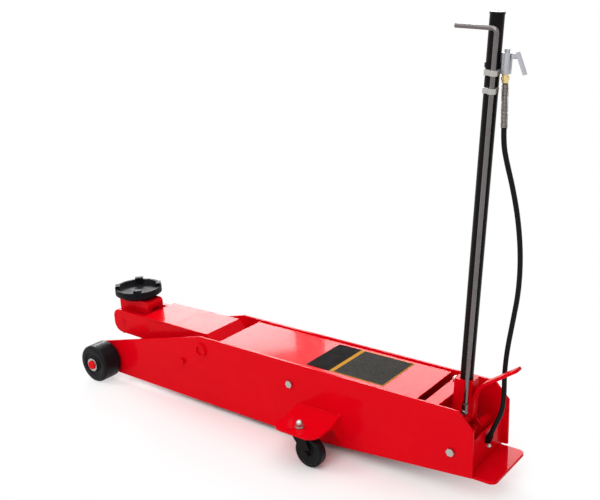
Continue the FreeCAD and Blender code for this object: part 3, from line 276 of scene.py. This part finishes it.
def placard_film(name):
    """A plain printed film: black front, an amber stripe and a dark grey panel with an amber edge."""
    low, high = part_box("placard")
    graph = Graph(name)
    parts = graph.node("ShaderNodeSeparateXYZ", Vector=graph.place)
    along, across = parts.outputs["X"], parts.outputs["Y"]
    length = high.x - low.x
    stripe_x = low.x + length * 0.335
    stripe = graph.math("COMPARE", along, stripe_x)
    stripe.node.inputs[2].default_value = length * 0.026
    behind = graph.math("GREATER_THAN", along, stripe_x)
    speckle = graph.span(graph.noise(420.0, 3.0, 0.7), 0.4, 0.66)
    panel = graph.mix(speckle, (0.018, 0.017, 0.016), (0.062, 0.056, 0.050))
    film = graph.mix(behind, (0.005, 0.004, 0.004), panel)
    side = graph.math("GREATER_THAN", graph.math("ABSOLUTE", across), high.y - 0.0022)
    rear = graph.math("GREATER_THAN", along, high.x - 0.0030)
    border = graph.math("MULTIPLY", graph.math("MAXIMUM", side, rear), behind)
    amber = graph.math("MAXIMUM", stripe, border)
    graph.set(Base_Color=graph.mix(amber, film, (0.50, 0.23, 0.02)))
    graph.set(Roughness=graph.span(graph.noise(34.0, 4.0), 0.3, 0.7, 0.62, 0.75), Specular_IOR_Level=0.02)
    graph.bump(graph.noise(700.0, 2.0), 0.05, 0.0003)
    return graph.material


RED = (0.74, 0.0008, 0.0075)
MATERIALS = {
    "red_paint": paint("red_enamel", RED, 0.4, 0.01, 0.2, 0.26),
    "black_paint": paint("black_enamel", (0.006, 0.004, 0.004), 0.3, 0.06, 0.12, 0.3),
    "black_cast": casting("black_casting"),
    "black_rubber": rubber("hose_rubber", (0.006, 0.006, 0.006), 0.42, 240.0),
    "wheel_black": rubber("tread_rubber", (0.007, 0.007, 0.008), 0.36, 150.0),
    "zinc": metal("zinc_plate", (0.47, 0.46, 0.43), 0.26, (1, 1, 4), 0.08),
    # The chrome's base colour is kept dark as painted shade: it stands in for the dark surroundings that the
    # rod reflects.
    "chrome": metal("chrome_plate", (0.17, 0.155, 0.155), 0.18, (1, 1, 0.15), 0.01),
    "steel": metal("bare_steel", (0.30, 0.27, 0.25), 0.32, (1, 6, 1), 0.08),
    "brass": metal("turned_brass", (0.80, 0.62, 0.30), 0.22, (1, 1, 7), 0.10),
    "placard": placard_film("printed_film"),
    "alloy": metal("cast_alloy", (0.46, 0.46, 0.50), 0.36, (1, 1, 1), 0.25),
}


def dress(item, slot):
    """Give a piece its material in every slot it has."""
    item.data.materials.clear()
    item.data.materials.append(MATERIALS[slot])


SLOT_OF = {part["node"]: part["material_slot"] for part in frame["record"]["subparts"]}

# Rounded edges in millimetres, and the angles in degrees that count as flat and as an edge.
USUAL_EDGE = 0.6
MERGE_REACH = 0.01
FLAT_ANGLE = 0.6
EDGE_ANGLE = 40
EDGE_WIDTH = {
    "side_plate_left": 0.9, "side_plate_right": 0.9, "foot_plate": 1.4, "pedal": 1.6, "handle_socket": 1.6,
    "saddle": 1.2, "saddle_bracket": 1.6, "placard": 0.2,
}


def soften(item, width):
    """Join flat faces and round sharp edges with modifiers; no point of the mesh moves."""
    for name in ("custom_normal", "sharp_edge", "sharp_face"):
        if name in item.data.attributes:
            item.data.attributes.remove(item.data.attributes[name])
    weld = item.modifiers.new("weld", "WELD")
    weld.merge_threshold = MERGE_REACH * MM
    flat = item.modifiers.new("flat", "DECIMATE")
    flat.decimate_type = "DISSOLVE"
    flat.angle_limit = math.radians(FLAT_ANGLE)
    bevel = item.modifiers.new("edges", "BEVEL")
    bevel.width = width * MM
    bevel.segments = 2
    bevel.limit_method = "ANGLE"
    bevel.angle_limit = math.radians(EDGE_ANGLE)
    bevel.use_clamp_overlap = True
    bevel.harden_normals = False
    item.modifiers.new("normals", "WEIGHTED_NORMAL")


for label, item in frame["nodes"].items():
    dress(item, SLOT_OF[label])
    soften(item, EDGE_WIDTH.get(label, USUAL_EDGE))


# ---------------------------------------------------------------- modelled pieces

def handle_matrix():
    """The place of the handle's upright frame in the row frame."""
    return Matrix.Translation(SHAFT) @ Matrix.Rotation(HANDLE_LEAN, 4, "Y")


def mesh_piece(name, mesh, slot, body, nodes=()):
    """Add a mesh as a piece that rides on a body and stands for CAD nodes."""
    item = bpy.data.objects.new(name, mesh)
    SCENE.collection.objects.link(item)
    dress(item, slot)
    for polygon in mesh.polygons:
        polygon.use_smooth = True
    if body:
        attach(item, body)
    if nodes:
        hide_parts(*nodes)
    return item


def lathe(profile, matrix, steps=96):
    """Turn an open profile of (radius, height) about Z; its ends lie on the axis or make a ring."""
    made = bmesh.new()
    rings = []
    for radius, height in profile:
        if radius < 1e-7:
            rings.append([made.verts.new(matrix @ Vector((0, 0, height)))])
            continue
        rings.append([made.verts.new(matrix @ Vector((
            radius * math.cos(math.tau * step / steps), radius * math.sin(math.tau * step / steps), height)))
            for step in range(steps)])
    for lower, upper in zip(rings, rings[1:]):
        for step in range(steps):
            after = (step + 1) % steps
            corners = [lower[step % len(lower)], lower[after % len(lower)],
                       upper[after % len(upper)], upper[step % len(upper)]]
            unique = list(dict.fromkeys(corners))
            made.faces.new(unique)
    bmesh.ops.recalc_face_normals(made, faces=made.faces)
    mesh = bpy.data.meshes.new("lathe")
    made.to_mesh(mesh)
    made.free()
    return mesh


def curve_line(name, points, order):
    """A NURBS curve through the control points' hull, with its ends on the first and last."""
    curve = bpy.data.curves.new(name, "CURVE")
    curve.dimensions = "3D"
    spline = curve.splines.new("NURBS")
    spline.points.add(len(points) - 1)
    for point, place in zip(spline.points, points):
        point.co = (*place, 1)
    spline.order_u = order
    spline.use_endpoint_u = True
    spline.resolution_u = 12
    return curve


def evaluated(curve):
    """The mesh that a curve makes."""
    holder = bpy.data.objects.new("holder", curve)
    SCENE.collection.objects.link(holder)
    graph = bpy.context.evaluated_depsgraph_get()
    mesh = bpy.data.meshes.new_from_object(holder.evaluated_get(graph))
    bpy.data.objects.remove(holder)
    return mesh


def air_hose():
    """The hose, a tube along a curve from the strain relief on the handle down to the elbow on the frame."""
    climb = Vector((math.cos(ELBOW_SLOPE), 0, math.sin(ELBOW_SLOPE))) * HOSE_CLIMB
    points = [HOSE_TOP, HOSE_TOP - Vector((0, 0, HOSE_DROP)), *map(Vector, HOSE_INNER),
              HOSE_END + climb, HOSE_END]
    line = curve_line("hose_line", points, 3)
    path = [vertex.co.copy() for vertex in evaluated(line).vertices]
    line.bevel_depth = HOSE_RADIUS
    line.bevel_resolution = 8
    line.use_fill_caps = True
    hose = mesh_piece("rubber_hose", evaluated(line), "black_rubber", None, ["air_hose"])
    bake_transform(hose)


def sweep(path, radius_at, sides=8):
    """A capped tube along a path, with the radius given at each point; the ends are flat."""
    made = bmesh.new()
    rings = []
    side = (path[1] - path[0]).orthogonal().normalized()
    for index, point in enumerate(path):
        before = path[max(index - 1, 0)]
        after = path[min(index + 1, len(path) - 1)]
        along = (after - before).normalized()
        side = (side - along * side.dot(along)).normalized()
        other = along.cross(side)
        radius = radius_at(index)
        rings.append([made.verts.new(point + (side * math.cos(turn) + other * math.sin(turn)) * radius)
                      for turn in (math.tau * step / sides for step in range(sides))])
    for lower, upper in zip(rings, rings[1:]):
        for step in range(sides):
            after = (step + 1) % sides
            made.faces.new((lower[step], lower[after], upper[after], upper[step]))
    made.faces.new(list(reversed(rings[0])))
    made.faces.new(rings[-1])
    bmesh.ops.recalc_face_normals(made, faces=made.faces)
    mesh = bpy.data.meshes.new("sweep")
    made.to_mesh(mesh)
    made.free()
    return mesh


def strain_relief():
    """A close-wound spring over the hose's end, with the hose showing between its turns."""
    low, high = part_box("strain_relief")
    outer = (high.x - low.x) / 2
    wire = 0.0011
    pitch = 0.0029
    steps = 20
    centre = Vector(((low.x + high.x) / 2, 0, low.z + wire))
    turns = int((high.z - low.z - wire * 2) / pitch)
    path = []
    for step in range(turns * steps + 1):
        angle = math.tau * step / steps
        spoke = Vector((math.cos(angle), math.sin(angle), 0)) * (outer - wire)
        path.append(centre + spoke + Vector((0, 0, pitch * step / steps)))
    mesh_piece("relief_spring", sweep(path, lambda index: wire), "steel", "handle", ["strain_relief"])
    ends = [Vector((centre.x, 0, low.z + (high.z - low.z) * share / 12)) for share in range(13)]
    mesh_piece("relief_core", sweep(ends, lambda index: HOSE_RADIUS - 0.0002, 32), "black_rubber", "handle")


def upright(place, sign):
    """Turn a lathe's Z axis to the row's Y axis, pointing outwards on one side."""
    return Matrix.Translation(place) @ Matrix.Rotation(math.radians(-90 * sign), 4, "X")


def wheels():
    """Moulded front wheels with rounded shoulders, a dished face and a hub boss, and caster wheels."""
    for side, sign in (("left", 1), ("right", -1)):
        for kind, profile in (("front_wheel", FRONT_WHEEL), ("caster_wheel", CASTER_WHEEL)):
            label = f"{kind}_{side}"
            low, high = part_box(label)
            inner = low.y if sign > 0 else high.y
            place = Vector(((low.x + high.x) / 2, inner, (low.z + high.z) / 2))
            ring = [(radius * MM, height * MM) for radius, height in profile]
            mesh = lathe([*ring, ring[0]], upright(place, sign), 128)
            wheel = mesh_piece(f"{kind}_tyre_{side}", mesh, "wheel_black", label, [label])
            bevel = wheel.modifiers.new("edges", "BEVEL")
            bevel.width = 0.4 * MM
            bevel.segments = 2
            wheel.modifiers.new("normals", "WEIGHTED_NORMAL")


def weld_bead(name, corners, body, radius=BEAD_RADIUS):
    """A fillet of weld metal under the paint, laid in overlapping ripples along straight runs."""
    path = []
    for start, end in zip(corners, corners[1:]):
        count = max(2, int((end - start).length / BEAD_RIPPLE * 3))
        path += [start.lerp(end, step / count) for step in range(count)]
    path.append(corners[-1])
    chance = random.Random(name)
    wander = [chance.uniform(-0.12, 0.12) for _ in path]

    def radius_at(index):
        return radius * (1 + 0.16 * math.cos(math.tau * index / 3) + wander[index])

    mesh_piece(name, sweep(path, radius_at), "red_paint", body)


def ring_points(centre, radius, count=72):
    """Points of a closed ring that stands across Y."""
    return [centre + Vector((math.cos(turn), 0, math.sin(turn))) * radius
            for turn in (math.tau * step / count for step in range(count + 1))]


def welds():
    """Beads where the brackets, bosses, rear panel and pedal are welded on."""
    panel_low, panel_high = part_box("rear_panel")
    for side, sign in (("left", 1), ("right", -1)):
        low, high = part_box(f"caster_bracket_{side}")
        face = (low.y if sign > 0 else high.y) + 0.0001 * sign
        top = high.z
        corners = [Vector((low.x, face, low.z)), Vector((low.x, face, top)), Vector((high.x, face, top)),
                   Vector((high.x, face, low.z))]
        weld_bead(f"bracket_weld_{side}", corners, "frame", BRACKET_BEAD_RADIUS)
        plate_low, plate_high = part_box(f"side_plate_{side}")
        outer = plate_high.y if sign > 0 else plate_low.y
        inner = plate_low.y if sign > 0 else plate_high.y
        shaft_low, shaft_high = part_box("arm_pivot_shaft")
        collar_low, collar_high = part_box("pivot_collars")
        middle = (shaft_low + shaft_high) / 2
        rim = (collar_high.z - collar_low.z) / 2
        ring = ring_points(Vector((middle.x, outer, middle.z)), rim)
        weld_bead(f"boss_weld_{side}", ring, "frame", BOSS_BEAD_RADIUS)
        weld_bead(f"panel_weld_{side}", [Vector((panel_high.x, inner, panel_low.z)),
                                         Vector((panel_high.x, inner, panel_high.z))], "frame")
        handle = handle_matrix()
        pedal_y = PEDAL_HALF * sign
        weld_bead(f"pedal_weld_{side}", [handle @ Vector((0.0004, pedal_y, PEDAL_LOW)),
                                         handle @ Vector((0.0004, pedal_y, PEDAL_WELD_TOP))], "handle")


air_hose()
strain_relief()
wheels()
welds()


# ---------------------------------------------------------------- floor, light and camera

def world():
    """White to the camera and in gloss, and softer as a light."""
    made = bpy.data.worlds.new("studio")
    SCENE.world = made
    made.use_nodes = True
    tree = made.node_tree
    tree.nodes.clear()
    background = tree.nodes.new("ShaderNodeBackground")
    background.inputs["Color"].default_value = (1, 1, 1, 1)
    rays = tree.nodes.new("ShaderNodeLightPath")
    seen = rays.outputs["Is Camera Ray"]
    for name in ("Is Glossy Ray", "Is Transmission Ray"):
        either = tree.nodes.new("ShaderNodeMath")
        either.operation = "MAXIMUM"
        tree.links.new(seen, either.inputs[0])
        tree.links.new(rays.outputs[name], either.inputs[1])
        seen = either.outputs[0]
    level = tree.nodes.new("ShaderNodeMapRange")
    level.inputs["To Min"].default_value = WORLD_LIGHT
    level.inputs["To Max"].default_value = 1.0
    tree.links.new(seen, level.inputs["Value"])
    tree.links.new(level.outputs["Result"], background.inputs["Strength"])
    output = tree.nodes.new("ShaderNodeOutputWorld")
    tree.links.new(background.outputs[0], output.inputs["Surface"])


def softbox(name, place, target, size, power):
    """A square area lamp aimed at a point."""
    light = bpy.data.lights.new(name, "AREA")
    light.shape = "RECTANGLE"
    light.size, light.size_y = size
    light.energy = power
    lamp = bpy.data.objects.new(name, light)
    lamp.location = place
    lamp.rotation_mode = "QUATERNION"
    lamp.rotation_quaternion = (Vector(target) - Vector(place)).to_track_quat("-Z", "Y")
    lamp.visible_camera = False
    SCENE.collection.objects.link(lamp)


def floor():
    """A pale floor that keeps the object's shadow and turns white away from it."""
    mesh = bpy.data.meshes.new("floor")
    turns = ((-1, -1), (1, -1), (1, 1), (-1, 1))
    mesh.from_pydata([(x * FLOOR_HALF, y * FLOOR_HALF, 0) for x, y in turns], [], [(0, 1, 2, 3)])
    item = bpy.data.objects.new("floor", mesh)
    SCENE.collection.objects.link(item)
    graph = Graph("floor_pale")
    graph.set(Base_Color=(0.96, 0.96, 0.96, 1), Roughness=0.9, Specular_IOR_Level=0.05)
    reach = graph.node("ShaderNodeVectorMath")
    reach.operation = "LENGTH"
    graph.link(graph.stretch((1 / FLOOR_RADII[0], 1 / FLOOR_RADII[1], 1)), reach.inputs[0])
    far = graph.node("ShaderNodeMapRange", Value=reach.outputs["Value"])
    far.interpolation_type = "SMOOTHSTEP"
    far.inputs["From Min"].default_value, far.inputs["From Max"].default_value = FLOOR_FADE
    rays = graph.node("ShaderNodeLightPath")
    seen = graph.math("MAXIMUM", rays.outputs["Is Camera Ray"], rays.outputs["Is Glossy Ray"])
    glow = graph.node("ShaderNodeEmission", Color=(1, 1, 1, 1), Strength=1.0)
    blend = graph.node("ShaderNodeMixShader")
    graph.put(blend.inputs[0], graph.math("MULTIPLY", far.outputs["Result"], seen))
    graph.link(graph.surface.outputs["BSDF"], blend.inputs[1])
    graph.link(glow.outputs[0], blend.inputs[2])
    output = next(node for node in graph.tree.nodes if node.type == "OUTPUT_MATERIAL")
    graph.link(blend.outputs[0], output.inputs["Surface"])
    mesh.materials.append(graph.material)


def camera():
    """The camera at the viewing angle that the sizes above give."""
    yaw, pitch, roll = (math.radians(value) for value in (CAMERA_YAW, CAMERA_PITCH, CAMERA_ROLL))
    forward = Vector((-math.sin(yaw) * math.cos(pitch), math.cos(yaw) * math.cos(pitch), -math.sin(pitch)))
    right = forward.cross(Vector((0, 0, 1))).normalized()
    up = right.cross(forward)
    turned_right = right * math.cos(roll) + up * math.sin(roll)
    turned_up = up * math.cos(roll) - right * math.sin(roll)
    lens = bpy.data.cameras.new("camera")
    lens.lens = CAMERA_LENS_MM
    lens.sensor_width = SENSOR_MM
    item = bpy.data.objects.new("camera", lens)
    axes = Matrix((turned_right, turned_up, -forward)).transposed().to_4x4()
    item.matrix_world = Matrix.Translation(CAMERA_PLACE) @ axes
    SCENE.collection.objects.link(item)
    SCENE.camera = item


world()
floor()
for label, values in LAMPS.items():
    softbox(label, *values)
camera()
SCENE.view_settings.view_transform = "Standard"
